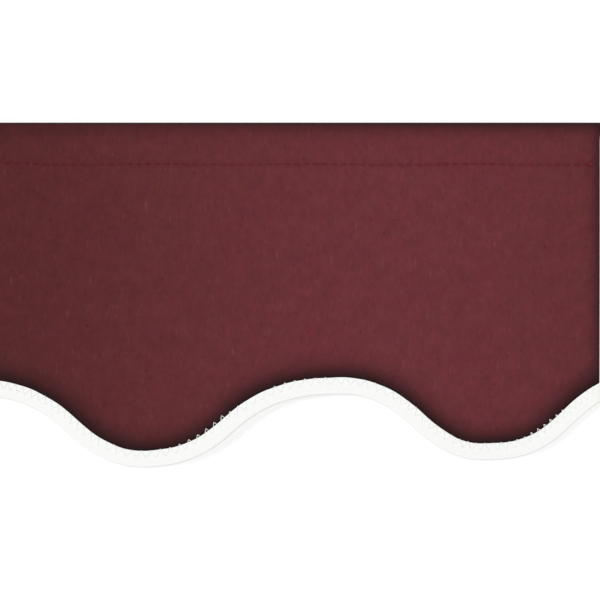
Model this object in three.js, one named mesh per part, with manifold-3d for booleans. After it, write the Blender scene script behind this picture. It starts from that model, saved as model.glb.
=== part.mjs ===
// Awning valance: the cloth skirt that hangs from the front rail of a window awning.
// One sheet of acrylic cloth is folded back along its top into a stitched hem, and a round rod
// lies in the fold, which is the bead that slides into the rail's groove. The lower edge is cut
// in scallops, and one white tape is folded over that edge as its binding.
// X runs along the valance, Y from the front to the back, Z up. The origin is on the rod's axis,
// half way along. The right-hand end is at +X for someone who looks at the front.

import * as THREE from "three";
import { mergeVertices } from "three/addons/utils/BufferGeometryUtils.js";
import Module from "manifold-3d";

// Sizes in millimetres.
const valanceLength = 740;
const clothThickness = 0.6;
const clearance = 0.3; // left between pieces that touch

// The hem, measured down from the top edge of the cloth.
const rodRadius = 2.5;
const rodInset = 1.5; // the rod ends this far inside the cloth's ends
const neckDrop = 12.5; // where the two layers of the hem lie flat on each other again
const hemDrop = 29.5; // where the turned-back layer ends
const loopTurn = 20; // degrees that the cloth wraps the rod below its middle, on each side
const neckEase = 3.4; // how far each end of the neck's curve runs straight

// The binding tape on the scalloped edge.
const tapeThickness = 0.5;
const tapeWidth = 10; // what shows of it on the front
const backTapeShort = 0.8; // the leg at the back is this much shorter
const edgeRoom = 0.5; // between the cloth's cut edge and the inside of the fold

// The upper line of the binding is a wave, level at its crests and lowest points and steep on the
// flanks between them. The scallops were cut by hand, so each turning point has its own place: the
// distance from the right-hand end as a share of the pitch, and the way down from a crest as a
// share of the scallop's depth.
const scallopPitch = 200;
const crestDrop = 149.6; // from the top edge down to a crest
const scallopDepth = 40;
const flankSteepness = 4.7; // the flanks' slope, for a wave one pitch long and one depth deep
const level = 0;
const falling = 1;
const rising = -1;
const seenWave = [
  { at: -0.058, down: 0, run: level },
  { at: 0.136, down: 0.62, run: falling },
  { at: 0.351, down: 0.96, run: level },
  { at: 0.519, down: 0.515, run: rising },
  { at: 0.755, down: -0.01, run: level },
  { at: 1.112, down: 0.625, run: falling },
  { at: 1.349, down: 1.07, run: level },
  { at: 1.541, down: 0.59, run: rising },
  { at: 1.855, down: 0.01, run: level },
];
const turnsInScallop = 4; // the last four points above make one scallop, and repeat

// How far the hanging cloth waves to the front and back at its lower edge: one long wave with a
// shorter one on it.
const rippleDepth = 2.2;
const rippleLength = 310;
const rippleWaves = [
  { share: 0.7, turns: 1, start: 0 },
  { share: 0.3, turns: 1.9, start: 1 },
];
const rippleGrowth = 1.6; // the power by which the waves grow from the hem down

// How finely curves are drawn.
const columnStep = 5; // along the wave
const clothRows = 6; // down the panel
const loopSteps = 8;
const neckSteps = 4;
const foldSteps = 6;
const rodSides = 24;
const offsetPasses = 30; // to find the cut edge's line
const mergeReach = 1e-4; // vertices closer than this are one
const endTrim = 30; // length of the blocks that trim the binding flush with the cloth's ends

// What follows from the sizes above.
const halfLength = valanceLength / 2;
const loopRadius = rodRadius + clearance + clothThickness / 2; // of the cloth's middle line
const topZ = loopRadius + clothThickness / 2;
const neckZ = topZ - neckDrop;
const hemZ = topZ - hemDrop;
const layerY = (clothThickness + clearance) / 2; // from the hem's middle to each layer's middle
const tapeY = clothThickness / 2 + clearance + tapeThickness / 2; // from the cloth's middle
const foldW = -(tapeWidth - tapeY - tapeThickness / 2); // the fold's centre, below the tape's top
const cutW = foldW - tapeY + tapeThickness / 2 + edgeRoom; // the cloth's cut edge

const wasm = await Module();
wasm.setup();

/** The whole wave: the seen turning points, and the last scallop again past the left-hand end. */
function waveTurns() {
  const turns = [...seenWave];
  while (turns.at(-1).at * scallopPitch < valanceLength + scallopPitch / 4) {
    const last = turns.slice(-turnsInScallop);
    turns.push(...last.map((turn) => ({ ...turn, at: turn.at + 1 })));
  }
  return turns.map(({ at, down, run }) => ({
    along: at * scallopPitch,
    drop: crestDrop + down * scallopDepth,
    slope: (run * flankSteepness * scallopDepth) / scallopPitch,
  }));
}

const wave = waveTurns();

/** Height and slope of the tape's upper line at x, on a smooth curve through the turns. */
function tapeLine(x) {
  const along = halfLength - x;
  let i = wave.findIndex((turn) => turn.along > along);
  if (i < 1) i = i < 0 ? wave.length - 1 : 1;
  const [a, b] = [wave[i - 1], wave[i]];
  const span = b.along - a.along;
  const t = (along - a.along) / span;
  const [startSlope, endSlope] = [a.slope * span, b.slope * span];
  const rise = b.drop - a.drop;
  const square = 3 * rise - 2 * startSlope - endSlope;
  const cube = startSlope + endSlope - 2 * rise;
  const drop = a.drop + t * (startSlope + t * (square + t * cube));
  const slope = (startSlope + t * (2 * square + t * 3 * cube)) / span;
  return { z: topZ - drop, slope };
}

/** The point that lies w above the tape's upper line, square to the line at x. */
function besideTape(x, w) {
  const { z, slope } = tapeLine(x);
  const size = Math.hypot(1, slope);
  return { x: x - (w * slope) / size, z: z + w / size };
}

/** Height of the cloth's cut edge at x: a line parallel to the tape's upper line. */
function cutEdge(x) {
  let from = x;
  for (let pass = 0; pass < offsetPasses; pass++) from += x - besideTape(from, cutW).x;
  return besideTape(from, cutW).z;
}

/** How far the cloth waves to the back at a place on it. The hem is held straight by its rod. */
function ripple(x, z) {
  const lowest = topZ - tapeWidth - Math.max(...wave.map((turn) => turn.drop));
  const share = THREE.MathUtils.clamp((hemZ - z) / (hemZ - lowest), 0, 1);
  const turn = (2 * Math.PI * x) / rippleLength;
  const waving = rippleWaves.reduce(
    (sum, part) => sum + part.share * Math.sin(part.turns * turn + part.start), 0,
  );
  return rippleDepth * share ** rippleGrowth * waving;
}

/** The outline of a strip of one thickness that follows a line of points. */
function stripOutline(points, thickness) {
  const offset = (side) =>
    points.map((point, i) => {
      const before = points[Math.max(i - 1, 0)];
      const after = points[Math.min(i + 1, points.length - 1)];
      const into = point.clone().sub(before).normalize();
      const out = after.clone().sub(point).normalize();
      const along = into.add(out).normalize();
      const edge = i > 0 && i < points.length - 1 ? out : along;
      const reach = (side * thickness) / 2 / along.dot(edge);
      return new THREE.Vector2(point.x - along.y * reach, point.y + along.x * reach);
    });
  return new THREE.Shape([...offset(-1), ...offset(1).reverse()]);
}

/** A section drawn in Y and Z, extruded from one x to another and bent by place(x, y, z). */
function alongX(section, fromX, toX, steps, place) {
  const bar = new THREE.ExtrudeGeometry(section, { depth: 1, steps, bevelEnabled: false });
  const spots = bar.getAttribute("position");
  for (let i = 0; i < spots.count; i++) {
    const x = fromX + (toX - fromX) * spots.getZ(i);
    spots.setXYZ(i, ...place(x, spots.getX(i), spots.getY(i)));
  }
  return bar;
}

/** A closed three.js geometry as a solid for joining and cutting. */
function solid(geometry) {
  const bare = geometry.index ? geometry.toNonIndexed() : geometry.clone();
  bare.deleteAttribute("normal");
  bare.deleteAttribute("uv");
  const merged = mergeVertices(bare, mergeReach);
  return new wasm.Manifold(
    new wasm.Mesh({
      numProp: 3,
      vertProperties: merged.getAttribute("position").array,
      triVerts: new Uint32Array(merged.index.array),
    }),
  );
}

/** A solid as a three.js geometry with flat faces. */
function geometryOf(made) {
  const mesh = made.getMesh();
  const geometry = new THREE.BufferGeometry();
  geometry.setAttribute("position", new THREE.BufferAttribute(mesh.vertProperties, 3));
  geometry.setIndex(new THREE.BufferAttribute(mesh.triVerts, 1));
  const faceted = geometry.toNonIndexed();
  faceted.computeVertexNormals();
  return faceted;
}

/** The middle line of the hem's cloth, from its lower front, over the rod, to its end at the back. */
function hemLine() {
  const turn = THREE.MathUtils.degToRad(loopTurn);
  const side = new THREE.Vector2(loopRadius * Math.cos(turn), -loopRadius * Math.sin(turn));
  const ease = new THREE.Vector2(neckEase * Math.sin(turn), neckEase * Math.cos(turn));
  const up = new THREE.CubicBezierCurve(
    new THREE.Vector2(-layerY, neckZ),
    new THREE.Vector2(-layerY, neckZ + neckEase),
    new THREE.Vector2(ease.x - side.x, side.y - ease.y),
    new THREE.Vector2(-side.x, side.y),
  );
  const over = new THREE.EllipseCurve(
    0, 0, loopRadius, loopRadius, Math.PI + turn, -turn, true,
  );
  const down = up.getPoints(neckSteps).map((point) => new THREE.Vector2(-point.x, point.y));
  return [
    new THREE.Vector2(-layerY, hemZ),
    ...up.getPoints(neckSteps),
    ...over.getPoints(loopSteps).slice(1, -1),
    ...down.reverse(),
    new THREE.Vector2(layerY, hemZ),
  ];
}

/** The cloth: a straight folded hem, and the panel below it that waves down to its cut edge. */
function makeCloth() {
  const hem = alongX(
    stripOutline(hemLine(), clothThickness),
    -halfLength,
    halfLength,
    1,
    (x, y, z) => [x, y, z],
  );
  const panelTop = (neckZ + hemZ) / 2; // inside the hem's front layer
  const line = [new THREE.Vector2(-layerY, 1)];
  for (let row = 0; row <= clothRows; row++)
    line.push(new THREE.Vector2(-layerY, -row / clothRows));
  const panel = alongX(
    stripOutline(line, clothThickness),
    -halfLength,
    halfLength,
    Math.round(valanceLength / columnStep),
    (x, y, share) => {
      const z = share > 0 ? panelTop : hemZ - share * (cutEdge(x) - hemZ);
      return [x, y + ripple(x, z), z];
    },
  );
  return geometryOf(solid(hem).add(solid(panel)));
}

/** The binding: one tape folded over the cut edge, square to the wave, trimmed at both ends. */
function makeBinding() {
  const fold = new THREE.EllipseCurve(0, foldW, tapeY, tapeY, Math.PI, 2 * Math.PI, false);
  const line = [
    new THREE.Vector2(-tapeY, 0),
    new THREE.Vector2(-tapeY, foldW / 2),
    ...fold.getPoints(foldSteps),
    new THREE.Vector2(tapeY, foldW / 2),
    new THREE.Vector2(tapeY, -backTapeShort),
  ];
  const overrun = tapeWidth;
  const tape = alongX(
    stripOutline(line, tapeThickness),
    -halfLength - overrun,
    halfLength + overrun,
    Math.round((valanceLength + 2 * overrun) / columnStep),
    (x, y, w) => {
      const spot = besideTape(x, w);
      return [spot.x, y - layerY + ripple(spot.x, spot.z), spot.z];
    },
  );
  const trims = [-1, 1].map((side) => {
    const block = new THREE.BoxGeometry(endTrim, 2 * endTrim, 2 * valanceLength);
    block.translate(side * (halfLength + endTrim / 2), 0, 0);
    return solid(block);
  });
  return geometryOf(solid(tape).subtract(trims[0]).subtract(trims[1]));
}

/** The rod in the fold of the hem. */
function makeRod() {
  const rod = new THREE.CylinderGeometry(
    rodRadius, rodRadius, valanceLength - 2 * rodInset, rodSides,
  );
  return rod.rotateZ(Math.PI / 2);
}

const materials = {
  cloth: new THREE.MeshStandardMaterial({ color: 0x6c3439, roughness: 0.9, metalness: 0 }),
  tape: new THREE.MeshStandardMaterial({ color: 0xf8faf5, roughness: 0.75, metalness: 0 }),
  plastic: new THREE.MeshStandardMaterial({ color: 0xe8e8e4, roughness: 0.4, metalness: 0 }),
};

/** One named piece of the valance. */
function piece(name, geometry, material) {
  const mesh = new THREE.Mesh(geometry, material);
  mesh.name = name;
  return mesh;
}

const valance = new THREE.Group();
valance.add(piece("valance_cloth", makeCloth(), materials.cloth));
valance.add(piece("edge_binding", makeBinding(), materials.tape));
valance.add(piece("hem_rod", makeRod(), materials.plastic));

export default valance;
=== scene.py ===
"""A hanging awning valance: burgundy cloth, a hem sewn over a rod, and a bound scalloped edge.

The cloth starts as its flat cut and is hung from there: up the front, over the rod, and down again
at the back of the hem. The binding is one tape folded over the cut edge. Both seams are sewn
stitch by stitch, with a needle thread at the front and a bobbin thread at the back.
Lengths are in metres. X runs along the valance, Y from its front to its back, and Z up.
"""

import logging
import math
from collections.abc import Callable
from dataclasses import dataclass, field
from enum import Enum

import bpy
import numpy as np
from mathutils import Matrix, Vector
from mathutils.kdtree import KDTree


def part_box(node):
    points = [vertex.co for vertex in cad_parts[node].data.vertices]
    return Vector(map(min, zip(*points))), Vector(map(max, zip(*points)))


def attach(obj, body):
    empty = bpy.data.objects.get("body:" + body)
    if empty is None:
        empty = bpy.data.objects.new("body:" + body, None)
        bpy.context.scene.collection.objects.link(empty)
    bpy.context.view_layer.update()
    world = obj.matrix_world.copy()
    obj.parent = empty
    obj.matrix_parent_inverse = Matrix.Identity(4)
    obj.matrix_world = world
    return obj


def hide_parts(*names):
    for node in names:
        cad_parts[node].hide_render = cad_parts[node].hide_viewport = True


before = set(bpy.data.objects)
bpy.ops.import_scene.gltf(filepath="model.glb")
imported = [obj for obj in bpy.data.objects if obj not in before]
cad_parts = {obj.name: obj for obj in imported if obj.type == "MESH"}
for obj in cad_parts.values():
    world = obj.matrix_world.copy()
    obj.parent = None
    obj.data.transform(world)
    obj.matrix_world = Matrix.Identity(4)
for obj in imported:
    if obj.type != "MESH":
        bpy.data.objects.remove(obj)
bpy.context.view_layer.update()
log = logging.getLogger("valance")

MM = 0.001
BODY = "root"
SEED = 11
PROUD = "proud"
Rgba = tuple[float, float, float, float]
Place = tuple[float, float, float]
Arrays = tuple[np.ndarray, np.ndarray]
Piece = bpy.types.Object


def way_along(line: np.ndarray) -> np.ndarray:
    """The length of a line up to each of its points, one row each."""
    steps = np.linalg.norm(np.diff(line, axis=0), axis=1)
    return np.concatenate([[0.0], np.cumsum(steps)])


class Run(Enum):
    """How the binding's wave runs at a turning point, read from the right-hand end."""

    LEVEL = 0
    FALLING = 1
    RISING = -1


class Face(Enum):
    """The side of the hanging cloth that a thread lies on, as a sign along Y."""

    FRONT = -1
    BACK = 1


@dataclass(frozen=True)
class Turn:
    """A turning point: its place as a share of the pitch, and its way down as one of the depth."""

    at: float
    down: float
    run: Run


@dataclass(frozen=True)
class ScallopWave:
    """The upper line of the binding: a hand-cut wave, smooth through its turning points."""

    length: float
    top: float
    pitch: float = 200 * MM
    crest_drop: float = 150.3 * MM
    depth: float = 40 * MM
    steepness: float = 4.7
    turns_in_scallop: int = 4
    offset_passes: int = 30
    turns: tuple[Turn, ...] = (
        Turn(-0.056, 0.0, Run.LEVEL),
        Turn(0.138, 0.62, Run.FALLING),
        Turn(0.353, 0.96, Run.LEVEL),
        Turn(0.521, 0.515, Run.RISING),
        Turn(0.757, -0.01, Run.LEVEL),
        Turn(1.114, 0.625, Run.FALLING),
        Turn(1.351, 1.07, Run.LEVEL),
        Turn(1.543, 0.59, Run.RISING),
        Turn(1.857, 0.01, Run.LEVEL),
    )

    def knots(self) -> tuple[np.ndarray, np.ndarray, np.ndarray]:
        """Give each turn's way from the right-hand end, drop and slope, the last scallop repeating."""
        turns = list(self.turns)
        while turns[-1].at * self.pitch < self.length + self.pitch / 4:
            turns += [Turn(t.at + 1, t.down, t.run) for t in turns[-self.turns_in_scallop :]]
        steep = self.steepness * self.depth / self.pitch
        along = np.array([t.at * self.pitch for t in turns])
        drop = np.array([self.crest_drop + t.down * self.depth for t in turns])
        slope = np.array([t.run.value * steep for t in turns])
        return along, drop, slope

    def line(self, x: np.ndarray) -> Arrays:
        """Find the wave's height and its slope dz/dx at places along the valance."""
        along, drop, slope = self.knots()
        s = self.length / 2 - x
        i = np.clip(np.searchsorted(along, s) - 1, 0, len(along) - 2)
        span = along[i + 1] - along[i]
        t = (s - along[i]) / span
        start, end = slope[i] * span, slope[i + 1] * span
        rise = drop[i + 1] - drop[i]
        square = 3 * rise - 2 * start - end
        cube = start + end - 2 * rise
        down = drop[i] + t * (start + t * (square + t * cube))
        return self.top - down, (start + t * (2 * square + t * 3 * cube)) / span

    def beside(self, x: np.ndarray, w: np.ndarray) -> Arrays:
        """Step up from the wave by w, square to it, and give X and Z of each point."""
        z, slope = self.line(x)
        size = np.hypot(1, slope)
        return x - w * slope / size, z + w / size

    def parallel(self, x: np.ndarray, w: float) -> np.ndarray:
        """Find the height at x of the line that runs beside the wave, w above it."""
        start = np.array(x, float)
        for _ in range(self.offset_passes):
            start += x - self.beside(start, w)[0]
        return self.beside(start, w)[1]

    def walk(self, step: float, overrun: float) -> Arrays:
        """Walk the wave by steps in X, past both ends, and give X and the way to each place."""
        x = np.arange(-self.length / 2 - overrun, self.length / 2 + overrun, step)
        return x, way_along(np.c_[x, self.line(x)[0]])


@dataclass(frozen=True)
class Ripple:
    """How the hanging cloth waves to the front and back below its hem."""

    hem_z: float
    lowest: float
    depth: float = 2.2 * MM
    length: float = 310 * MM
    growth: float = 1.6
    waves: tuple[tuple[float, float, float], ...] = ((0.7, 1.0, 0.0), (0.3, 1.9, 1.0))

    def sway(self, x: np.ndarray, z: np.ndarray) -> np.ndarray:
        """Find how far the cloth stands to the back at each place."""
        share = np.clip((self.hem_z - z) / (self.hem_z - self.lowest), 0, 1)
        turn = math.tau * x / self.length
        waving = sum(part * np.sin(times * turn + start) for part, times, start in self.waves)
        return self.depth * share**self.growth * waving


@dataclass(frozen=True)
class HemFold:
    """The section of the cloth's middle line in the hem, round the rod."""

    top: float
    thickness: float = 0.6 * MM
    clearance: float = 0.3 * MM
    neck_drop: float = 12.5 * MM
    drop: float = 29.5 * MM
    loop_turn: float = math.radians(20)
    neck_ease: float = 3.4 * MM
    flat_rows: int = 12
    neck_rows: int = 5
    loop_rows: int = 14
    back_rows: int = 7

    @property
    def layer_y(self) -> float:
        """The distance from the hem's middle to the middle of each layer."""
        return (self.thickness + self.clearance) / 2

    @property
    def neck_z(self) -> float:
        """The height at which the two layers lie flat on each other again."""
        return self.top - self.neck_drop

    @property
    def hem_z(self) -> float:
        """The height at which the turned-back layer ends."""
        return self.top - self.drop

    def line(self) -> np.ndarray:
        """Follow the cloth from the hem's lower front, over the rod, to its end at the back.

        Returns:
            Rows of Y and Z.
        """
        radius = self.top - self.thickness / 2
        turn = self.loop_turn
        side = np.array([radius * math.cos(turn), -radius * math.sin(turn)])
        ease = np.array([self.neck_ease * math.sin(turn), self.neck_ease * math.cos(turn)])
        flat = np.linspace(self.hem_z, self.neck_z, self.flat_rows + 1)[:-1]
        front = np.c_[np.full(len(flat), -self.layer_y), flat]
        t = np.linspace(0, 1, self.neck_rows + 1)[:, None]
        knots = np.array(
            [
                [-self.layer_y, self.neck_z],
                [-self.layer_y, self.neck_z + self.neck_ease],
                [ease[0] - side[0], side[1] - ease[1]],
                [-side[0], side[1]],
            ]
        )
        neck = sum(math.comb(3, k) * t**k * (1 - t) ** (3 - k) * knots[k] for k in range(4))
        angles = np.linspace(math.pi + turn, -turn, self.loop_rows + 1)[1:-1]
        loop = radius * np.c_[np.cos(angles), np.sin(angles)]
        mirrored = neck[::-1] * [-1, 1]
        behind = np.linspace(self.neck_z, self.hem_z, self.back_rows + 1)[1:]
        back = np.c_[np.full(len(behind), self.layer_y), behind]
        return np.vstack([front, neck, loop, mirrored, back])


@dataclass(frozen=True)
class Pattern:
    """The sizes that the pieces share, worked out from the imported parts."""

    length: float
    top: float
    wave: ScallopWave
    ripple: Ripple
    hem: HemFold
    tape_width: float = 10 * MM
    tape_thickness: float = 0.5 * MM
    edge_room: float = 0.5 * MM
    back_short: float = 0.8 * MM
    seam_drop: float = 24.7 * MM
    stitch: float = 5.5 * MM
    dash: float = 3.4 * MM
    seam_swing: float = 0.2 * MM
    seam_swing_length: float = 90 * MM
    seam_step: float = 0.8 * MM
    seam_step_place: float = 34 * MM
    seam_step_length: float = 4 * MM
    dimple: float = 0.13 * MM
    dimple_reach: float = 1.7 * MM
    swell: float = 0.05 * MM
    swell_reach: float = 5.0 * MM

    @classmethod
    def from_frame(cls) -> "Pattern":
        """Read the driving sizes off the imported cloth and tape."""
        cloth_low, cloth_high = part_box("valance_cloth")
        tape_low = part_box("edge_binding")[0]
        length = cloth_high.x - cloth_low.x
        hem = HemFold(top=cloth_high.z)
        return cls(
            length=length,
            top=cloth_high.z,
            wave=ScallopWave(length=length, top=cloth_high.z),
            ripple=Ripple(hem_z=hem.hem_z, lowest=tape_low.z),
            hem=hem,
        )

    @property
    def tape_y(self) -> float:
        """The distance from the cloth's middle to the middle of each leg of the tape."""
        return (self.hem.thickness + self.tape_thickness) / 2 + self.hem.clearance

    @property
    def fold_w(self) -> float:
        """The centre of the tape's fold, measured from the tape's upper edge."""
        return -(self.tape_width - self.tape_y - self.tape_thickness / 2)

    @property
    def cut_w(self) -> float:
        """The cloth's cut edge inside the fold, measured from the tape's upper edge."""
        return self.fold_w - self.tape_y + self.tape_thickness / 2 + self.edge_room

    @property
    def seam_z(self) -> float:
        """The height of the hem's seam."""
        return self.top - self.seam_drop

    @property
    def stitches(self) -> int:
        """How many stitches the hem's seam has."""
        return round(self.length / self.stitch)

    def seam_line(self, x: np.ndarray) -> np.ndarray:
        """Find the height of the hem's seam, which swings a little and steps up once."""
        swing = self.seam_swing * np.sin(math.tau * x / self.seam_swing_length)
        fall = 1 + np.exp((x - self.seam_step_place) / self.seam_step_length)
        return self.seam_z + swing + self.seam_step / fall

    def pull(self, x: np.ndarray, z: np.ndarray) -> np.ndarray:
        """Find how far the stitches draw the hem in, negative where it swells between them."""
        phase = (x + self.length / 2) / self.length * self.stitches
        off = z - self.seam_line(x)
        near = np.exp(-((off / self.dimple_reach) ** 2))
        wide = np.exp(-((off / self.swell_reach) ** 2))
        return self.dimple * near - self.swell * wide * (1 - np.cos(math.tau * phase))


@dataclass(frozen=True)
class ZigzagSeam:
    """Where the needle goes in along the binding: by turns on the tape and over its edge."""

    pattern: Pattern
    pitch: float = 5.32 * MM
    pitch_drift: float = 0.82 * MM
    drift_length: float = 375 * MM
    first_outer: float = 4.8 * MM
    width: float = 4.6 * MM
    reach_repeat: float = 400 * MM
    reaches: tuple[tuple[float, float], ...] = (
        (5, -0.1), (14, 0.0), (21, 0.45), (28, 1.45), (40, 1.6), (44, 0.7), (58, 0.35),
        (80, 0.3), (110, 0.05), (150, 0.1), (172, 0.35), (185, 0.75), (192, 0.4), (198, -0.1),
        (211, 0.0), (217, 0.65), (222, 1.95), (232, 2.05), (241, 1.5), (247, 0.9), (256, 0.4),
        (268, 0.15), (300, -0.05), (352, -0.05), (378, 0.3),
    )
    lean: float = 0.3
    jitter: float = 0.12 * MM
    walk_step: float = 0.25 * MM
    end_margin: float = 3.2 * MM

    def drift(self, along: np.ndarray) -> np.ndarray:
        """How the feed of the cloth changes with the way from the right end, from -1 to 1."""
        return -np.cos(math.tau * along / self.drift_length)

    def holes(self) -> Arrays:
        """Step along the wave from its right-hand end, and set the holes by turns.

        Returns:
            X of each hole's foot on the wave, and how far above the wave the hole lies.
        """
        rng = np.random.default_rng(SEED)
        half = self.pattern.length / 2
        x, way = self.pattern.wave.walk(self.walk_step, 0.0)
        x, way = x[::-1], way[-1] - way[::-1]
        at, outer = self.first_outer, []
        while at < way[-1] - self.end_margin:
            outer.append(at)
            here = half - np.interp(at, way, x)
            at += self.pitch + self.pitch_drift * float(self.drift(here))
        inner = (np.array(outer[1:]) + np.array(outer[:-1])) / 2
        inner = np.concatenate([[self.end_margin], inner, [way[-1] - self.end_margin]])
        stops = np.sort(np.concatenate([outer, inner]))
        feet = np.interp(stops, way, x)
        along, reach = np.array(self.reaches).T * MM
        w = np.interp(half - feet, along, reach, period=self.reach_repeat)
        outside = np.isin(stops, outer)
        feet = feet + self.lean * (1 + self.drift(half - feet)) * np.clip(w, 0, None) * outside
        w = w - np.where(outside, 0, self.width) + self.jitter * rng.standard_normal(len(w))
        return feet[::-1], w[::-1]


def deselect_all() -> None:
    """Leave nothing selected, so that the next operator meets only its own piece."""
    bpy.ops.object.select_all(action="DESELECT")


def choose(piece: Piece) -> None:
    """Make one piece the selected and active one."""
    deselect_all()
    piece.select_set(True)
    bpy.context.view_layer.objects.active = piece


def apply_modifier(piece: Piece, kind: str, **settings: object) -> None:
    """Add a modifier to a piece, with its settings, and apply it."""
    choose(piece)
    modifier = piece.modifiers.new(kind.title(), kind)
    for name, value in settings.items():
        setattr(modifier, name, value)
    bpy.ops.object.modifier_apply(modifier=modifier.name)


def thicken(sheet: Piece, thickness: float) -> None:
    """Give a sheet its thickness, half of it to each side."""
    apply_modifier(sheet, "SOLIDIFY", thickness=thickness, offset=0.0, use_even_offset=True)


def lay_sheet(name: str, places: np.ndarray, flat: np.ndarray) -> Piece:
    """Add a grid as a flat cut, and lay it where the sheet hangs.

    Args:
        name: The piece's name.
        places: Where each grid point goes, by column, row and coordinate.
        flat: Each grid point's place on the flat cut, by column, row and coordinate.

    Returns:
        The sheet, still without thickness, with the flat cut as its UV map.
    """
    columns, rows = places.shape[0] - 1, places.shape[1] - 1
    deselect_all()
    bpy.ops.mesh.primitive_grid_add(x_subdivisions=columns, y_subdivisions=rows, size=1)
    sheet = bpy.context.active_object
    sheet.name = sheet.data.name = name
    mesh = sheet.data
    spots = np.empty(len(mesh.vertices) * 3)
    mesh.vertices.foreach_get("co", spots)
    spots = spots.reshape(-1, 3)
    column = np.rint((spots[:, 0] + 0.5) * columns).astype(int)
    row = np.rint((spots[:, 1] + 0.5) * rows).astype(int)
    mesh.vertices.foreach_set("co", places[column, row].ravel())
    corners = np.empty(len(mesh.loops), int)
    mesh.loops.foreach_get("vertex_index", corners)
    mesh.uv_layers.active.data.foreach_set("uv", flat[column, row][corners].ravel())
    mesh.update()
    return sheet


def mark(piece: Piece, name: str, values: np.ndarray) -> None:
    """Store one number for each vertex of a piece, for its material to read."""
    layer = piece.data.attributes.new(name, "FLOAT", "POINT")
    layer.data.foreach_set("value", values.astype(np.float32))


def vertices_of(piece: Piece) -> np.ndarray:
    """The places of a piece's vertices, one row each."""
    spots = np.empty(len(piece.data.vertices) * 3)
    piece.data.vertices.foreach_get("co", spots)
    return spots.reshape(-1, 3)


def spin_thread(name: str, path: np.ndarray, radius: float, sides: int) -> Piece:
    """Make a thread as a closed tube along a path.

    Args:
        name: The piece's name.
        path: The points that the thread's middle follows.
        radius: Half the thread's thickness.
        sides: How many sides its section has.

    Returns:
        The thread. Its UV map holds the length along it and the share of the way round.
    """
    count = len(path)
    run = np.gradient(path, axis=0)
    run /= np.linalg.norm(run, axis=1, keepdims=True)
    side = np.cross(run, [0.0, 1.0, 0.0])
    side /= np.linalg.norm(side, axis=1, keepdims=True)
    lift = np.cross(side, run)
    turn = math.tau * np.arange(sides) / sides
    ring = np.cos(turn)[None, :, None] * side[:, None] + np.sin(turn)[None, :, None] * lift[:, None]
    tube = (path[:, None] + radius * ring).reshape(-1, 3)
    spots = np.vstack([tube, path[0] - radius * run[0], path[-1] + radius * run[-1]])
    faces, flat = [], []
    way = way_along(path)
    corners = (0, 0), (0, 1), (1, 1), (1, 0)
    for i in range(count - 1):
        for j in range(sides):
            faces.append([(i + a) * sides + (j + b) % sides for a, b in corners])
            flat += [(way[i + a], (j + b) / sides) for a, b in corners]
    last = (count - 1) * sides
    for j in range(sides):
        k = (j + 1) % sides
        faces += [(count * sides, k, j), (count * sides + 1, last + j, last + k)]
        flat += [(way[0], j / sides)] * 3 + [(way[-1], j / sides)] * 3
    mesh = bpy.data.meshes.new(name)
    mesh.from_pydata(spots.tolist(), [], faces)
    layer = mesh.uv_layers.new(name="UVMap")
    layer.data.foreach_set("uv", np.array(flat).ravel())
    thread = bpy.data.objects.new(name, mesh)
    bpy.context.scene.collection.objects.link(thread)
    choose(thread)
    bpy.ops.object.mode_set(mode="EDIT")
    bpy.ops.mesh.select_all(action="SELECT")
    bpy.ops.mesh.normals_make_consistent(inside=False)
    bpy.ops.object.mode_set(mode="OBJECT")
    bpy.ops.object.shade_smooth()
    return thread


def arithmetic(operation: str, turned: bool = False) -> Callable:
    """Make a method that adds one arithmetic node, its two terms turned round if asked."""

    def method(self: "Value", other: object) -> "Value":
        """Work out one step with another value or a number."""
        return self.graph.math(operation, *((other, self) if turned else (self, other)))

    return method


class Value:
    """What a node gives. Arithmetic on it adds the nodes that work out the result."""

    __add__ = arithmetic("ADD")
    __sub__ = arithmetic("SUBTRACT")
    __rsub__ = arithmetic("SUBTRACT", turned=True)
    __mul__ = arithmetic("MULTIPLY")
    __truediv__ = arithmetic("DIVIDE")
    __rtruediv__ = arithmetic("DIVIDE", turned=True)
    __mod__ = arithmetic("FLOORED_MODULO")
    __pow__ = arithmetic("POWER")

    def __init__(self, graph: "Graph", socket: bpy.types.NodeSocket) -> None:
        """Take the graph, and the socket that gives the value."""
        self.graph, self.socket = graph, socket


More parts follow.
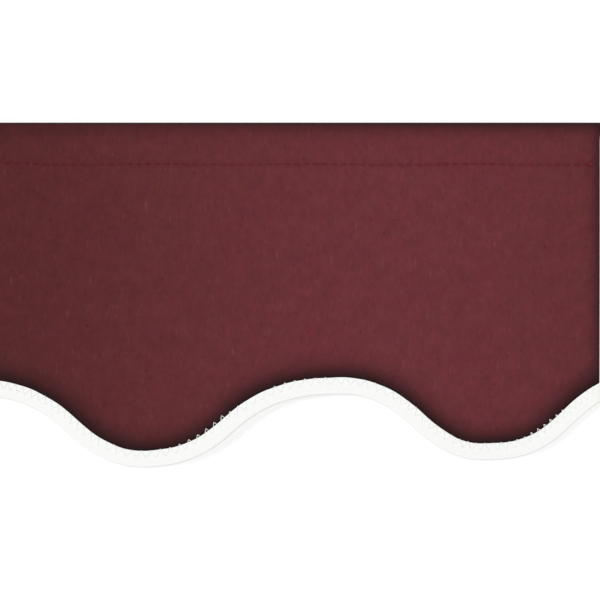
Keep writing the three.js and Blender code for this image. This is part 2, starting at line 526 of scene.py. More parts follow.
class Graph:
    """A node tree with short ways to add nodes and join them."""

    def __init__(self, tree: bpy.types.NodeTree) -> None:
        """Take the tree that the nodes go into."""
        self.tree = tree

    def feed(self, node: bpy.types.Node, inputs: dict) -> None:
        """Join a value to each of a node's inputs, or set its number."""
        for name, value in inputs.items():
            if isinstance(value, Value):
                self.tree.links.new(value.socket, node.inputs[name])
            else:
                node.inputs[name].default_value = value

    def add(self, kind: str, inputs: dict | None = None, **settings: object) -> bpy.types.Node:
        """Add one node.

        Args:
            kind: The node's type.
            inputs: For each input, by name or number, a value to join or a number to set.
            settings: The node's own properties.

        Returns:
            The node.
        """
        node = self.tree.nodes.new(kind)
        for name, value in settings.items():
            setattr(node, name, value)
        self.feed(node, inputs or {})
        return node

    def give(self, kind: str, inputs: dict | None = None, at: int | str = 0, **settings: object) -> Value:
        """Add one node and give its output at a number or name."""
        return Value(self, self.add(kind, inputs, **settings).outputs[at])

    def math(self, operation: str, *values: object, clamp: bool = False) -> Value:
        """Add one step of arithmetic and give its result."""
        inputs = dict(enumerate(values))
        return self.give("ShaderNodeMath", inputs, operation=operation, use_clamp=clamp)

    def mix(self, factor: object, first: object, second: object, blend: str = "MIX") -> Value:
        """Mix two colours and give the result."""
        inputs = {0: factor, 6: first, 7: second}
        return self.give("ShaderNodeMix", inputs, 2, data_type="RGBA", blend_type=blend)

    def shade(self, colour: object, tone: Value) -> Value:
        """Multiply a colour by a tone."""
        grey = self.give("ShaderNodeCombineColor", dict.fromkeys(range(3), tone))
        return self.mix(1.0, colour, grey, "MULTIPLY")

    def noise(self, vector: Value, scale: object, detail: float = 2.0, rough: float = 0.5) -> Value:
        """Add a noise and give its value, from 0 to 1."""
        inputs = {"Vector": vector, "Scale": scale, "Detail": detail, "Roughness": rough}
        return self.give("ShaderNodeTexNoise", inputs)

    def stretch(self, vector: Value, *scale: float) -> Value:
        """Stretch a vector along its axes."""
        return self.give("ShaderNodeMapping", {"Vector": vector, "Scale": scale})

    def split(self, vector: Value) -> list[Value]:
        """Split a vector into X, Y and Z."""
        return [Value(self, part) for part in self.add("ShaderNodeSeparateXYZ", {0: vector}).outputs]

    def hump(self, count: Value) -> Value:
        """Draw a half wave over each whole step of a count."""
        return self.math("SINE", self.math("FRACT", count) * math.pi)

    def group(self, group: bpy.types.NodeTree, inputs: dict) -> dict[str, Value]:
        """Place a node group with its own values and give its outputs by name."""
        outputs = self.add("ShaderNodeGroup", inputs, node_tree=group).outputs
        return {output.name: Value(self, output) for output in outputs}

    def finish(self, shader: bpy.types.Node, relief: dict, inputs: dict) -> None:
        """Give a shader its inputs, and a bump for its normal."""
        self.feed(shader, {"Normal": self.give("ShaderNodeBump", relief), **inputs})

    def seen(self) -> Value:
        """Give 1 to rays from the camera, off gloss and through clear things, and 0 to others."""
        rays = self.add("ShaderNodeLightPath").outputs
        camera, gloss, clear = (
            Value(self, rays[f"Is {kind} Ray"]) for kind in ("Camera", "Glossy", "Transmission")
        )
        return self.math("MAXIMUM", self.math("MAXIMUM", camera, gloss), clear)


def make_group(
    name: str,
    inputs: dict[str, float | None],
    outputs: tuple[str, ...],
    draw: Callable[[Graph, dict], dict],
) -> bpy.types.NodeTree:
    """Make a shader node group.

    Args:
        name: The group's name.
        inputs: For each input, its usual value, or None for a vector.
        outputs: The names of the outputs, which are numbers.
        draw: Draws the nodes from the group's inputs, and gives its outputs' values.

    Returns:
        The group.
    """
    tree = bpy.data.node_groups.new(name, "ShaderNodeTree")
    for label, usual in inputs.items():
        kind = "NodeSocketVector" if usual is None else "NodeSocketFloat"
        socket = tree.interface.new_socket(name=label, in_out="INPUT", socket_type=kind)
        if usual is not None:
            socket.default_value = usual
    for label in outputs:
        tree.interface.new_socket(name=label, in_out="OUTPUT", socket_type="NodeSocketFloat")
    graph = Graph(tree)
    entry = graph.add("NodeGroupInput")
    made = draw(graph, {label: Value(graph, entry.outputs[label]) for label in inputs})
    graph.add("NodeGroupOutput", made)
    return tree


class Effects:
    """The node groups that more than one material uses."""

    WOBBLE_SCALE = 900.0
    CLOUD_DETAIL = 3.0
    CLOUD_ROUGHNESS = 0.55
    PLY_ROUNDNESS = 0.6
    # Painted shade: how dark the grooves between a thread's plies are.
    PLY_GROOVE_SHADE = 0.84

    def __init__(self) -> None:
        """Make each group once."""
        self.weave = make_group(
            "plain_weave",
            {"Flat": None, "Warp": 0.5 * MM, "Weft": 0.6 * MM, "Uneven": 0.3},
            ("Height",),
            self.draw_weave,
        )
        self.edge_shade = make_group(
            "edge_shade",
            {"Gap": 1.0, "Reach": 8 * MM, "Fall": 1.6, "Depth": 1.0},
            ("Shade",),
            self.draw_edge_shade,
        )
        self.mottle = make_group(
            "mottle", {"Vector": None, "Scale": 500.0, "Contrast": 0.1}, ("Tone",), self.draw_mottle
        )
        # Painted light: a broad pool along the valance, brightest at one place and darker to each side.
        self.fade = make_group(
            "painted_light_pool",
            {"Place": None, "Middle": 0.81, "Swing": 0.19, "Brightest": 0.255, "Length": 0.58},
            ("Tone", "Share"),
            self.draw_light_pool,
        )
        self.twist = make_group(
            "thread_twist",
            {"Along": None, "Lay": 1.1 * MM, "Plies": 3.0},
            ("Height", "Tone"),
            self.draw_twist,
        )

    @staticmethod
    def draw_weave(graph: Graph, given: dict) -> dict:
        """Draw warp and weft that pass over and under each other."""
        u, v, _ = graph.split(given["Flat"])
        shift = (graph.noise(given["Flat"], Effects.WOBBLE_SCALE, 1.0) - 0.5) * given["Uneven"]
        warps, wefts = u / given["Warp"] + shift, v / given["Weft"] + shift
        over = (graph.math("FLOOR", warps) + graph.math("FLOOR", wefts)) % 2.0
        warp, weft = graph.hump(warps), graph.hump(wefts)
        across, along = warp * graph.math("SQRT", weft), weft * graph.math("SQRT", warp)
        return {"Height": across * over + along * (1.0 - over)}

    @staticmethod
    def draw_edge_shade(graph: Graph, given: dict) -> dict:
        """Draw a shade that fades with the distance from an edge."""
        share = (graph.math("MAXIMUM", given["Gap"], 0.0) / given["Reach"]) ** given["Fall"]
        return {"Shade": graph.math("EXPONENT", share * -1.0) * given["Depth"]}

    @staticmethod
    def draw_mottle(graph: Graph, given: dict) -> dict:
        """Draw an uneven tone round 1."""
        detail, rough = Effects.CLOUD_DETAIL, Effects.CLOUD_ROUGHNESS
        clouds = graph.noise(given["Vector"], given["Scale"], detail, rough)
        return {"Tone": (clouds - 0.5) * 2.0 * given["Contrast"] + 1.0}

    @staticmethod
    def draw_light_pool(graph: Graph, given: dict) -> dict:
        """Draw painted light along the valance: a tone brightest at one place and darker to each side,
        and its share.
        """
        turn = (graph.split(given["Place"])[0] - given["Brightest"]) / given["Length"] * math.tau
        wave = graph.math("COSINE", turn)
        return {"Tone": wave * given["Swing"] + given["Middle"], "Share": wave * 0.5 + 0.5}

    @staticmethod
    def draw_twist(graph: Graph, given: dict) -> dict:
        """Draw plies that wind round a thread, with painted shade in the grooves between them."""
        along, way_round, _ = graph.split(given["Along"])
        winding = (along / given["Lay"] + way_round) * given["Plies"]
        height = graph.hump(winding) ** Effects.PLY_ROUNDNESS
        # The tone is painted shade, darker in the grooves between the plies.
        return {"Height": height, "Tone": height * 0.2 + Effects.PLY_GROOVE_SHADE}


class Finish:
    """What the finishes share: a name, and a Principled BSDF that each dresses in its own way."""

    name: str

    def make(self, effects: Effects) -> bpy.types.Material:
        """Build the material with the shared node groups."""
        material = bpy.data.materials.new(self.name)
        material.use_nodes = True
        tree = material.node_tree
        self.dress(Graph(tree), tree.nodes["Principled BSDF"], effects)
        return material

    def dress(self, graph: Graph, shader: bpy.types.Node, effects: Effects) -> None:
        """Draw the finish's nodes and feed them to the shader."""
        raise NotImplementedError


@dataclass(frozen=True)
class AwningCloth(Finish):
    """Burgundy solution-dyed acrylic: a plain weave with slubs and neps, painted light along its length
    and painted shade along its edges.

    Each hue is two tints and the scale of the noise between them. Each mottle is its stretch along
    the warp, its scale and its contrast. Flecks have a stretch across and along, and a depth.
    """

    pattern: Pattern
    name: str = "awning_cloth"
    colour: Rgba = (0.1415, 0.0277, 0.0344, 1.0)
    # Painted shade: the colour the cloth darkens to along its binding, its top edge and its ends.
    edge_shade_colour: Rgba = (0.0177, 0.0054, 0.0058, 1.0)
    # Painted shade round the hem's stitches, where the cloth dimples in.
    stitch_shade_colour: Rgba = (0.118, 0.0104, 0.0168, 1.0)
    fibre: Rgba = (0.212, 0.0790, 0.0860, 1.0)
    # The tints of the painted light: yellower where it is dim, bluer where it is lit.
    dim_tint: Rgba = (1.0, 1.0, 0.92, 1.0)
    lit_tint: Rgba = (1.0, 1.0, 1.03, 1.0)
    hues: tuple[tuple[Rgba, Rgba, float], ...] = (
        ((1.04, 0.92, 0.93, 1.0), (0.96, 1.08, 1.07, 1.0), 150.0),
        ((1.0, 0.95, 1.10, 1.0), (1.0, 1.05, 0.90, 1.0), 180.0),
        ((1.01, 0.94, 0.97, 1.0), (0.99, 1.06, 1.01, 1.0), 32.0),
    )
    hue_stretch: float = 0.8
    hue_detail: float = 0.5
    mottles: tuple[tuple[float, float, float], ...] = (
        (0.5, 480.0, 0.17), (0.6, 300.0, 0.16), (0.8, 130.0, 0.18), (1.0, 60.0, 0.11),
    )
    specks: tuple[float, float, float] = (1.0, 0.6, 0.44)
    neps: tuple[float, float, float] = (1.1, 0.5, 0.25)
    slubs: tuple[float, float, float] = (1.0, 0.22, 0.32)
    fleck_scale: float = 430.0
    fleck_start: float = 0.67
    fleck_full: float = 0.84
    warp: float = 0.42 * MM
    weft: float = 0.62 * MM
    roughness: float = 0.84
    stitch_shade_reach: float = 2.1 * MM
    stitch_shade_depth: float = 0.21
    # Painted shade along the top edge, deeper or lighter along X as the light falls off.
    top_shade_depth: float = 0.73
    top_shade_swing: float = 0.18
    top_shade_place: float = 160 * MM
    top_shade_length: float = 600 * MM

    def dress(self, graph: Graph, shader: bpy.types.Node, effects: Effects) -> None:
        """Draw the weave, and the colour with painted shade round the seam's stitches and along its
        edges.
        """
        place = graph.give("ShaderNodeTexCoord", at="Object")
        flat = graph.give("ShaderNodeUVMap")
        colour = self.tinted(graph, effects, place, flat)
        # Painted shade round each stitch of the hem's seam, as far as its gap reaches.
        gap = self.stitch_gap(graph, place)
        stitch_band = {"Gap": gap, "Reach": self.stitch_shade_reach, "Fall": 2.0, "Depth": self.stitch_shade_depth}
        stitch_shade = graph.group(effects.edge_shade, stitch_band)["Shade"]
        colour = graph.mix(stitch_shade, colour, self.stitch_shade_colour)
        # Painted shade along the binding, the top edge and the ends.
        colour = graph.mix(self.edges(graph, effects, place), colour, self.edge_shade_colour)
        yarns = {"Flat": flat, "Warp": self.warp, "Weft": self.weft, "Uneven": 0.5}
        weave = graph.group(effects.weave, yarns)["Height"]
        uneven = graph.noise(graph.stretch(flat, 1.0, 0.35, 1.0), 700.0, 3.0)
        graph.finish(
            shader,
            {"Strength": 0.3, "Distance": 0.25 * MM, "Height": weave * 0.35 + uneven},
            {
                "Base Color": colour,
                "Roughness": uneven * 0.12 + self.roughness,
                "Specular IOR Level": 0.15,
                "Sheen Weight": 0.03,
                "Sheen Roughness": 0.5,
            },
        )

    def tinted(self, graph: Graph, effects: Effects, place: Value, flat: Value) -> Value:
        """Draw the cloth's colour, with its painted light along the valance, mottle, slubs and neps.

        Args:
            graph: The material's graph.
            effects: The shared node groups.
            place: The object coordinates.
            flat: The place on the flat cut.

        Returns:
            The colour.
        """
        # Painted light along the valance, which also shifts the hue.
        painted_pool = graph.group(effects.fade, {"Place": place})
        tone = painted_pool["Tone"]
        for along, scale, contrast in self.mottles:
            vector = graph.stretch(flat, 1.0, along, 1.0)
            layer = {"Vector": vector, "Scale": scale, "Contrast": contrast}
            tone = tone * graph.group(effects.mottle, layer)["Tone"]
        tone = tone * (1.0 - self.flecks(graph, flat, self.specks))
        pool_tint = graph.mix(painted_pool["Share"], self.dim_tint, self.lit_tint)
        colour = graph.mix(1.0, self.colour, pool_tint, "MULTIPLY")
        clouds = graph.stretch(flat, 1.0, self.hue_stretch, 1.0)
        for first, second, scale in self.hues:
            hue = graph.mix(graph.noise(clouds, scale, self.hue_detail), first, second)
            colour = graph.mix(1.0, colour, hue, "MULTIPLY")
        fibres = [self.flecks(graph, flat, kind) for kind in (self.neps, self.slubs)]
        return graph.mix(graph.math("MAXIMUM", *fibres), graph.shade(colour, tone), self.fibre)

    def flecks(self, graph: Graph, flat: Value, kind: tuple[float, float, float]) -> Value:
        """Draw sparse flecks, the peaks of a noise, as a mask up to their depth."""
        across, along, depth = kind
        peaks = graph.noise(graph.stretch(flat, across, along, 1.0), self.fleck_scale, 1.0)
        rise = {"From Min": self.fleck_start, "From Max": self.fleck_full, "To Max": depth}
        return graph.give("ShaderNodeMapRange", {"Value": peaks, "To Min": 0.0, **rise})

    def stitch_gap(self, graph: Graph, place: Value) -> Value:
        """Draw how far each point lies from the nearest stitch of the hem's seam.

        Args:
            graph: The material's graph.
            place: The object coordinates.

        Returns:
            The distance.
        """
        pattern = self.pattern
        x, _, z = graph.split(place)
        swing = graph.math("SINE", x * (math.tau / pattern.seam_swing_length)) * pattern.seam_swing
        past = graph.math("EXPONENT", (x - pattern.seam_step_place) / pattern.seam_step_length)
        off = z - (swing + pattern.seam_z + pattern.seam_step / (past + 1.0))
        pitch = pattern.length / pattern.stitches
        middle = graph.math("FRACT", (x + pattern.length / 2) / pitch) - 0.5
        side = graph.math("ABSOLUTE", middle) * pitch - pattern.dash / 2
        return graph.math("SQRT", off**2.0 + graph.math("MAXIMUM", side, 0.0) ** 2.0)

    def edges(self, graph: Graph, effects: Effects, place: Value) -> Value:
        """Draw the painted shade that darkens the cloth towards its binding, its top edge and its ends.

        Args:
            graph: The material's graph.
            effects: The shared node groups.
            place: The object coordinates.

        Returns:
            The painted shade, from 0 on the open cloth to 1 at its edges.
        """
        # The top band's painted shade swings in depth along X, following the fall-off of light.
        turn = (graph.split(place)[0] - self.top_shade_place) * (math.tau / self.top_shade_length)
        top = graph.math("SINE", turn) * self.top_shade_swing + self.top_shade_depth
        light = 1.0
        # Bands of painted shade: the distance attribute, its reach, its fall and its depth. The narrow
        # top band is a painted dark line.
        for name, reach, fall, depth in (
            ("binding_gap", 8.0 * MM, 1.6, 1.0),
            ("top_gap", 5.4 * MM, 1.7, top),
            ("top_gap", 1.0 * MM, 3.0, 0.92),
            ("end_gap", 4.4 * MM, 1.5, 0.74),
        ):
            gap = graph.give("ShaderNodeAttribute", at="Fac", attribute_name=name)
            band = {"Gap": gap, "Reach": reach, "Fall": fall, "Depth": depth}
            light = (1.0 - graph.group(effects.edge_shade, band)["Shade"]) * light
        return graph.math("SUBTRACT", 1.0, light, clamp=True)


@dataclass(frozen=True)
class BindingTape(Finish):
    """White woven tape with a fine rib across it."""

    name: str = "binding_tape"
    colour: Rgba = (0.955, 0.965, 0.945, 1.0)
    rib: float = 0.55 * MM
    yarn: float = 0.4 * MM

    def dress(self, graph: Graph, shader: bpy.types.Node, effects: Effects) -> None:
        """Draw the ribbed weave and its faint mottle."""
        flat = graph.give("ShaderNodeUVMap")
        cloudy = {"Vector": flat, "Scale": 380.0, "Contrast": 0.03}
        colour = graph.shade(self.colour, graph.group(effects.mottle, cloudy)["Tone"])
        yarns = {"Flat": flat, "Warp": self.rib, "Weft": self.yarn, "Uneven": 0.25}
        weave = graph.group(effects.weave, yarns)["Height"]
        graph.finish(
            shader,
            {"Strength": 0.25, "Distance": 0.12 * MM, "Height": weave},
            {"Base Color": colour, "Roughness": weave * -0.12 + 0.82, "Specular IOR Level": 0.2},
        )


@dataclass(frozen=True)
class SewingThread(Finish):
    """Three-ply sewing thread, with painted shade where it is sunk into the cloth, which follows the
    cloth's painted light.
    """

    name: str
    colour: Rgba
    sunk_shade_colour: Rgba | None = None
    roughness: float = 0.6

    def dress(self, graph: Graph, shader: bpy.types.Node, effects: Effects) -> None:
        """Draw the plies with painted shade in their grooves, the colour where the thread lies proud, and
        the painted shade where it is sunk.
        """
        plies = graph.group(effects.twist, {"Along": graph.give("ShaderNodeUVMap")})
        colour = self.colour
        if self.sunk_shade_colour:
            # Where the thread is sunk it takes a painted shade, dimmed along with the cloth's painted
            # light.
            place = graph.give("ShaderNodeTexCoord", at="Object")
            tone = graph.group(effects.fade, {"Place": place})["Tone"]
            proud = graph.give("ShaderNodeAttribute", at="Fac", attribute_name=PROUD)
            colour = graph.mix(proud, graph.shade(self.sunk_shade_colour, tone), colour)
        # Painted shade in the grooves between the plies.
        colour = graph.shade(colour, plies["Tone"])
        graph.finish(
            shader,
            {"Strength": 0.6, "Distance": 0.08 * MM, "Height": plies["Height"]},
            {"Base Color": colour, "Roughness": self.roughness, "Specular IOR Level": 0.15},
        )


@dataclass(frozen=True)
class RodPlastic(Finish):
    """Pale extruded plastic with faint draw lines along it."""

    name: str = "rod_plastic"
    colour: Rgba = (0.80, 0.80, 0.77, 1.0)

    def dress(self, graph: Graph, shader: bpy.types.Node, effects: Effects) -> None:
        """Draw the lines and an uneven gloss."""
        place = graph.give("ShaderNodeTexCoord", at="Object")
        drawn = {"Vector": graph.stretch(place, 0.02, 1.0, 1.0), "Scale": 1600.0, "Contrast": 0.06}
        tone = graph.group(effects.mottle, drawn)["Tone"]
        rough = graph.noise(place, 900.0) * 0.2 + 0.32
        graph.finish(
            shader,
            {"Strength": 0.15, "Distance": 0.1 * MM, "Height": tone},
            {"Base Color": graph.shade(self.colour, tone), "Roughness": rough},
        )


def place_piece(piece: Piece, material: bpy.types.Material) -> None:
    """Dress a piece and let it ride on the valance's body."""
    piece.data.materials.clear()
    piece.data.materials.append(material)
    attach(piece, BODY)
    triangles = sum(len(face.vertices) - 2 for face in piece.data.polygons)
    log.info("%s: %d triangles", piece.name, triangles)


@dataclass
class ValanceCloth:
    """The burgundy sheet: a hem folded over the rod, and the panel that hangs from it."""

    pattern: Pattern
    columns_per_stitch: int = 4
    panel_rows: int = 42
    smooth_angle: float = math.radians(50)
    line_step: float = 0.4 * MM
    flat_area: float = field(default=0.0, init=False)
    flat_height: float = field(default=0.0, init=False)

    def build(self) -> Piece:
        """Cut the sheet, hang it, give it its thickness and mark its edges."""
        places, flat = self.hang()
        self.measure(flat)
        cloth = lay_sheet("cloth", places, flat)
        thicken(cloth, self.pattern.hem.thickness)
        self.mark_edges(cloth)
        choose(cloth)
        bpy.ops.object.shade_smooth_by_angle(angle=self.smooth_angle)
        return cloth

    def hang(self) -> Arrays:
        """Work out where each point of the flat cut hangs.

        Returns:
            The places and the flat places, by column, row and coordinate.
        """
        pattern, hem = self.pattern, self.pattern.hem
        columns = pattern.stitches * self.columns_per_stitch
        x = np.linspace(-pattern.length / 2, pattern.length / 2, columns + 1)
        cut = pattern.wave.parallel(x, pattern.cut_w)
        share = np.linspace(0, 1, self.panel_rows + 1)[None, :-1]
        panel_z = cut[:, None] + (hem.hem_z - cut[:, None]) * share
        fold = hem.line()
        z = np.hstack([panel_z, np.tile(fold[:, 1], (len(x), 1))])
        y = np.hstack([np.full_like(panel_z, -hem.layer_y), np.tile(fold[:, 0], (len(x), 1))])
        wide = np.tile(x[:, None], (1, z.shape[1]))
        inward = -np.sign(y) * pattern.pull(wide, z)
        y = y + inward + pattern.ripple.sway(wide, z)
        folded = way_along(fold) + hem.hem_z - cut.min()
        v = np.hstack([panel_z - cut.min(), np.tile(folded, (len(x), 1))])
        return np.stack([wide, y, z], axis=2), np.stack([wide + pattern.length / 2, v], axis=2)

    def measure(self, flat: np.ndarray) -> None:
        """Take the flat cut's height and area from the sheet's grid."""
        u, v = flat[..., 0], flat[..., 1]
        self.flat_height = float(v.max() - v.min())
        heights = v[:, -1] - v[:, 0]
        self.flat_area = float(np.sum((heights[1:] + heights[:-1]) / 2 * np.diff(u[:, 0])))
        log.info("cloth: flat cut %.3f by %.3f m", self.pattern.length, self.flat_height)

    def mark_edges(self, cloth: Piece) -> None:
        """Store how far each vertex lies from the binding, the top edge and the nearer end, for the
        painted shade along them.
        """
        pattern = self.pattern
        spots = vertices_of(cloth)
        line_x = pattern.wave.walk(self.line_step, pattern.tape_width)[0]
        line_z = pattern.wave.line(line_x)[0]
        tree = KDTree(len(line_x))
        for i, (a, b) in enumerate(zip(line_x, line_z)):
            tree.insert((a, 0, b), i)
        tree.balance()
        away = np.array([tree.find((a, 0, b))[2] for a, b in spots[:, [0, 2]]])
        above = spots[:, 2] >= pattern.wave.line(spots[:, 0])[0]
        mark(cloth, "binding_gap", np.where(above, away, -away))
        mark(cloth, "top_gap", pattern.top - spots[:, 2])
        mark(cloth, "end_gap", pattern.length / 2 - np.abs(spots[:, 0]))


@dataclass
class EdgeBinding:
    """The white tape, folded over the cloth's cut edge and drawn in a little by its stitches."""

    pattern: Pattern
    seam: ZigzagSeam
    columns_per_hole: int = 2
    leg_rows: int = 8
    fold_rows: int = 10
    edge_bevel: float = 0.12 * MM
    smooth_angle: float = math.radians(50)
    dent: float = 0.07 * MM
    dent_reach: float = 1.1 * MM
    dent_between: float = 0.25
    wander: float = 0.12 * MM
    wander_reach: float = 1.2 * MM
    short_wander: float = 3.1 * MM
    long_wander: float = 11 * MM
    end_step: float = 2 * MM
    sliver: float = 0.001 * MM

    def build(self) -> Piece:
        """Lay the tape along the wave and give it its thickness and its soft edges."""
        places, flat = self.lay()
        tape = lay_sheet("tape", places, flat)
        thicken(tape, self.pattern.tape_thickness)
        apply_modifier(
            tape,
            "BEVEL",
            width=self.edge_bevel,
            segments=2,
            limit_method="ANGLE",
            angle_limit=self.smooth_angle,
        )
        choose(tape)
        bpy.ops.object.shade_smooth_by_angle(angle=self.smooth_angle)
        return tape

    def section(self) -> Arrays:
        """Draw the folded tape's middle line: its Y, and its height from the tape's upper edge."""
        pattern = self.pattern
        radius, fold = pattern.tape_y, pattern.fold_w
        front = np.linspace(0, fold, self.leg_rows + 1)[:-1]
        turn = np.linspace(math.pi, math.tau, self.fold_rows + 1)
        back = np.linspace(fold, -pattern.back_short, self.leg_rows + 1)[1:]
        legs = np.full(len(front), -radius), np.full(len(back), radius)
        y = np.concatenate([legs[0], radius * np.cos(turn), legs[1]])
        w = np.concatenate([front, fold + radius * np.sin(turn), back])
        return y, w

    def lay(self) -> Arrays:
        """Work out where each point of the flat tape lies.

        Returns:
            The places and the flat places, by column, row and coordinate.
        """
        pattern = self.pattern
        feet, holes = self.seam.holes()
        count = np.arange(len(feet))
        fine = np.linspace(0, len(feet) - 1, (len(feet) - 1) * self.columns_per_hole + 1)
        half = pattern.length / 2
        inner = np.interp(fine, count, feet)
        ends = np.array([half, half + self.end_step, half + pattern.tape_width])
        x = np.concatenate([-ends[::-1], inner, ends])
        phase = np.concatenate([[0.5] * 3, fine, [0.5] * 3])
        hole = np.interp(x, feet, holes)
        y, w = self.section()
        across = np.tile(w, (len(x), 1))
        long_x = np.tile(x[:, None], (1, len(w)))
        ragged = np.sin(long_x / self.short_wander) * np.sin(long_x / self.long_wander + 1)
        across = across + self.wander * ragged * np.exp(across / self.wander_reach)
        px, pz = pattern.wave.beside(long_x, across)
        near = np.exp(-(((across - hole[:, None]) / self.dent_reach) ** 2))
        held = 0.5 + 0.5 * np.cos(math.tau * phase[:, None]) + self.dent_between
        drawn = self.dent * near * held * -np.sign(y)[None, :]
        py = y[None, :] + drawn - pattern.hem.layer_y + pattern.ripple.sway(px, pz)
        places = np.stack([px, py, pz], axis=2)
        ways = way_along(places[:, 0, [0, 2]]), way_along(np.c_[y, w])
        flat = np.stack(np.meshgrid(*ways, indexing="ij"), axis=2)
        return self.trim(places, flat)

    def trim(self, places: np.ndarray, flat: np.ndarray) -> Arrays:
        """Cut the tape flush with the cloth's ends, row by row.

        Args:
            places: Where the tape lies, with some to spare at both ends.
            flat: The same points on the flat tape.

        Returns:
            The places and flat places, with the ends drawn back to the cloth's.
        """
        half = self.pattern.length / 2
        points = np.concatenate([places, flat], axis=2)
        cut = np.empty_like(points)
        for row in range(points.shape[1]):
            px = places[:, row, 0]
            kept, order = np.clip(px, -half, half), np.argsort(px)
            for k in range(points.shape[2]):
                cut[:, row, k] = np.interp(kept, px[order], points[order, row, k])
        inner = half - self.sliver
        first = int(np.max(np.argmax(cut[..., 0] > -inner, axis=0)))
        last = len(cut) - int(np.max(np.argmax(cut[::-1, :, 0] < inner, axis=0)))
        cut = np.concatenate([cut[[0]], cut[first:last], cut[[-1]]])
        return cut[..., :3], cut[..., 3:]


@dataclass
class HemStitching:
    """The hem's lockstitch seam, with a back-tack at its right-hand end."""

    pattern: Pattern
    radius: float = 0.3 * MM
    sunk: float = 0.5 * MM
    front_bulge: float = 0.85
    back_bulge: float = 0.6
    layer_rise: float = 0.8
    hold: float = 0.06
    steepness: float = 4.5
    roundness: float = 0.8
    end_margin: float = 4 * MM
    jitter_x: float = 0.18 * MM
    jitter_z: float = 0.09 * MM
    sides: int = 7
    tack: tuple[tuple[float, float], ...] = ((-4.2, 0.55), (0.3, 0.3), (-3.4, -0.45), (0.2, -0.15))
    stations: tuple[float, ...] = (0.0, 0.1, 0.18, 0.26, 0.38, 0.5, 0.62, 0.74, 0.82, 0.9)

    def holes(self) -> Arrays:
        """Set out the needle holes, those of the back-tack last, and give their X and Z."""
        pattern = self.pattern
        rng = np.random.default_rng(SEED + 1)
        half = pattern.length / 2
        x = np.linspace(-half, half, pattern.stitches + 1)[1:]
        x = x[x < half - self.end_margin / 2]
        x = x + self.jitter_x * rng.standard_normal(len(x))
        x[-1] = half - self.end_margin
        z = pattern.seam_line(x) + self.jitter_z * rng.standard_normal(len(x))
        tack_x = [x[-1] + back * MM for back, _ in self.tack]
        tack_z = [z[-1] + up * MM for _, up in self.tack]
        return np.append(x, tack_x), np.append(z, tack_z)

    def thread(self, face: Face) -> Piece:
        """Sew one of the seam's two threads.

        Args:
            face: The side of the hem that it lies on.

        Returns:
            The thread.
        """
        pattern = self.pattern
        x, z = self.holes()
        surface = pattern.hem.layer_y + pattern.hem.thickness / 2
        bulge = self.front_bulge if face is Face.FRONT else self.back_bulge
        points, proud = [], []
        for i in range(len(x) - 1):
            layers = max(0, i + 1 - (len(x) - len(self.tack)))
            layer = self.radius * self.layer_rise * layers
            for t in self.stations:
                px, pz = x[i] + (x[i + 1] - x[i]) * t, z[i] + (z[i + 1] - z[i]) * t
                rise = min(1.0, max(0.0, min(t, 1 - t) - self.hold) * self.steepness)
                lift = (self.sunk + bulge * self.radius + layer) * rise**self.roundness - self.sunk
                drawn = float(pattern.pull(np.array(px), np.array(pz)))
                points.append((px, face.value * (surface - drawn + lift), pz))
                proud.append(rise if layers else 0.0)
        path = np.array(points)
        path[:, 1] += pattern.ripple.sway(path[:, 0], path[:, 2])
        label = "hem_needle_thread" if face is Face.FRONT else "hem_bobbin_thread"
        thread = spin_thread(label, path, self.radius, self.sides)
        rings = np.repeat(proud, self.sides)
        mark(thread, PROUD, np.append(rings, [proud[0], proud[-1]]))
        return thread


@dataclass
class BindingStitching:
    """The white zigzag that sews the binding on."""

    pattern: Pattern
    seam: ZigzagSeam
    radius: float = 0.2 * MM
    sides: int = 7
    sunk: float = 0.3 * MM
    bulge: float = 0.9
    tape_bulge: float = 0.45
    steepness: float = 6.0
    roundness: float = 0.7
    edge_fall: float = 0.7 * MM
    stations: tuple[float, ...] = (0.0, 0.05, 0.14, 0.3, 0.45, 0.6, 0.74, 0.87, 0.95)

    def surface(self, w: np.ndarray, face: Face) -> np.ndarray:
        """Find how far out the outside lies, at heights from the tape's upper edge."""
        pattern = self.pattern
        cloth = pattern.hem.thickness / 2
        tape = pattern.tape_y + pattern.tape_thickness / 2
        edge = 0.0 if face is Face.FRONT else -pattern.back_short
        share = np.clip((w - edge) / self.edge_fall, 0, 1)
        return tape + (cloth - tape) * share

    def thread(self, face: Face) -> Piece:
        """Sew one of the seam's two threads.

        Args:
            face: The side of the valance that it lies on.

        Returns:
            The thread.
        """
        pattern = self.pattern
        feet, w = self.seam.holes()
        t = np.array(self.stations)[None, :]
        foot = (feet[:-1, None] + np.diff(feet)[:, None] * t).ravel()
        height = (w[:-1, None] + np.diff(w)[:, None] * t).ravel()
        rise = np.minimum(1.0, self.steepness * np.minimum(t, 1 - t)) ** self.roundness
        bulge = np.where(height > 0, self.bulge, self.tape_bulge).reshape(-1, len(self.stations))
        lift = (self.sunk + bulge * self.radius) * rise - self.sunk
        px, pz = pattern.wave.beside(foot, height)
        out = self.surface(height, face) + lift.ravel()
        py = face.value * out - pattern.hem.layer_y + pattern.ripple.sway(px, pz)
        label = "binding_needle_thread" if face is Face.FRONT else "binding_bobbin_thread"
        return spin_thread(label, np.stack([px, py, pz], axis=1), self.radius, self.sides)


class StudioSide(Enum):
    """The two stage surfaces."""

    WALL = "backdrop"
    FLOOR = "floor"


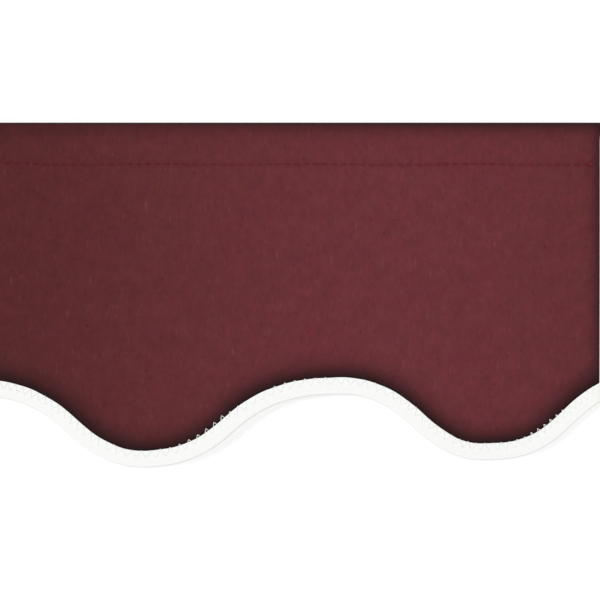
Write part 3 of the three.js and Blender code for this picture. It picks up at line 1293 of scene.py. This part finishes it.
@dataclass(frozen=True)
class StudioSurface:
    """A white stage surface that keeps the valance's soft shadow and is seen from its front only."""

    side: StudioSide
    glow: float = 0.50
    tone: float = 0.62
    bounce: float = 0.8

    def make(self) -> bpy.types.Material:
        """Build the material: a white for the rays that show it, over a pale matt one."""
        material = bpy.data.materials.new(self.side.value)
        material.use_nodes = True
        graph = Graph(material.node_tree)
        material.node_tree.nodes.clear()
        matt, plain = (
            graph.give("ShaderNodeBsdfDiffuse", {"Color": (tone, tone, tone, 1.0)})
            for tone in (self.tone, self.bounce)
        )
        white = graph.give("ShaderNodeEmission", {"Strength": self.glow})
        lit = graph.give("ShaderNodeAddShader", {0: matt, 1: white})
        shown = graph.give("ShaderNodeMixShader", {0: graph.seen(), 1: plain, 2: lit})
        behind = graph.give("ShaderNodeNewGeometry", at="Backfacing")
        clear = graph.give("ShaderNodeBsdfTransparent")
        result = graph.give("ShaderNodeMixShader", {0: behind, 1: shown, 2: clear})
        graph.add("ShaderNodeOutputMaterial", {"Surface": result})
        return material


@dataclass
class Studio:
    """The backdrop, the floor, the lamps and the camera."""

    pattern: Pattern
    frame_width: float = 352.8 * MM
    pixels: int = 600
    right_end_pixel: float = 599.85
    top_pixel: float = 122.4
    lens: float = 85.0
    sensor: float = 36.0
    wall_gap: float = 10 * MM
    floor_drop: float = 420 * MM
    stage_size: float = 6.0
    sun_angle: float = math.radians(18)
    suns: tuple[tuple[str, Place, float], ...] = (
        ("key", (-0.62, -0.78, 0.12), 1.35),
        ("fill", (0.7, -0.7, 0.2), 0.40),
        ("rear", (-0.4, 0.85, 0.35), 1.35),
    )
    daylight: float = 0.55

    @property
    def aim(self) -> Vector:
        """The middle of the photograph's frame, on the valance's front."""
        pixel = self.frame_width / self.pixels
        x = self.pattern.length / 2 - (self.right_end_pixel - self.pixels / 2) * pixel
        z = self.pattern.top - (self.pixels / 2 - self.top_pixel) * pixel
        return Vector((x, -self.pattern.hem.layer_y - self.pattern.hem.thickness / 2, z))

    def set_camera(self) -> None:
        """Set the camera square to the valance, as far off as the frame's width asks."""
        away = self.frame_width * self.lens / self.sensor
        deselect_all()
        bpy.ops.object.camera_add(
            location=self.aim - Vector((0, away, 0)), rotation=(math.pi / 2, 0, 0)
        )
        camera = bpy.context.active_object
        camera.data.lens = self.lens
        camera.data.sensor_width = self.sensor
        camera.data.clip_start = 0.01
        bpy.context.scene.camera = camera

    def add_plane(self, side: StudioSide, place: Place, lean: float = 0.0) -> Piece:
        """Add one of the stage's planes, leaned over about X."""
        deselect_all()
        bpy.ops.mesh.primitive_plane_add(size=self.stage_size, location=place, rotation=(lean, 0, 0))
        plane = bpy.context.active_object
        plane.name = side.value
        plane.data.materials.append(StudioSurface(side).make())
        return plane

    def set_stage(self) -> None:
        """Stand the backdrop behind the valance and lay the floor under it."""
        middle = self.stage_size / 2 - self.floor_drop
        wall = self.add_plane(StudioSide.WALL, (0, self.wall_gap, middle), math.pi / 2)
        wall.visible_diffuse = wall.visible_shadow = False
        floor = self.add_plane(StudioSide.FLOOR, (0, 0, -self.floor_drop))

    def set_light(self) -> None:
        """Light the valance softly from the front left, and fill in from the right and the back."""
        for name, towards, strength in self.suns:
            deselect_all()
            bpy.ops.object.light_add(type="SUN", location=towards)
            lamp = bpy.context.active_object
            lamp.name = name
            lamp.data.angle = self.sun_angle
            lamp.data.energy = strength
            lamp.rotation_euler = (-Vector(towards)).to_track_quat("-Z", "Y").to_euler()
        world = bpy.context.scene.world or bpy.data.worlds.new("studio")
        bpy.context.scene.world = world
        world.use_nodes = True
        world.node_tree.nodes.clear()
        graph = Graph(world.node_tree)
        dim, white = (
            graph.give("ShaderNodeBackground", {"Color": (1, 1, 1, 1), "Strength": level})
            for level in (self.daylight, 1.0)
        )
        mixed = graph.give("ShaderNodeMixShader", {0: graph.seen(), 1: dim, 2: white})
        graph.add("ShaderNodeOutputWorld", {"Surface": mixed})


def main() -> None:
    """Build the valance piece by piece, dress it and set it in the studio."""
    logging.basicConfig(level=logging.INFO, format="%(name)s: %(message)s")
    bpy.context.scene.view_settings.view_transform = "Standard"
    pattern = Pattern.from_frame()
    studio = Studio(pattern)
    studio.set_camera()
    studio.set_stage()
    studio.set_light()

    effects = Effects()
    cloth_finish = AwningCloth(pattern).make(effects)
    tape_finish = BindingTape().make(effects)
    # The hem thread's sunk colour is painted shade.
    red_thread = SewingThread(
        "hem_thread", (0.19, 0.021, 0.036, 1.0), sunk_shade_colour=(0.139, 0.0180, 0.0240, 1.0)
    ).make(effects)
    white_thread = SewingThread("binding_thread", (0.955, 0.96, 0.945, 1.0)).make(effects)

    valance = ValanceCloth(pattern)
    cloth = valance.build()
    place_piece(cloth, cloth_finish)
    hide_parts("valance_cloth")

    seam = ZigzagSeam(pattern)
    tape = EdgeBinding(pattern, seam).build()
    place_piece(tape, tape_finish)
    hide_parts("edge_binding")

    hem, binding = HemStitching(pattern), BindingStitching(pattern, seam)
    hem_threads = [hem.thread(face) for face in Face]
    binding_threads = [binding.thread(face) for face in Face]
    for thread in hem_threads:
        place_piece(thread, red_thread)
    for thread in binding_threads:
        place_piece(thread, white_thread)

    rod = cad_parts["hem_rod"]
    rod.data.materials.clear()
    rod.data.materials.append(RodPlastic().make(effects))
    log.info("hem_rod: dressed as it is")


if __name__ == "__main__":
    main()
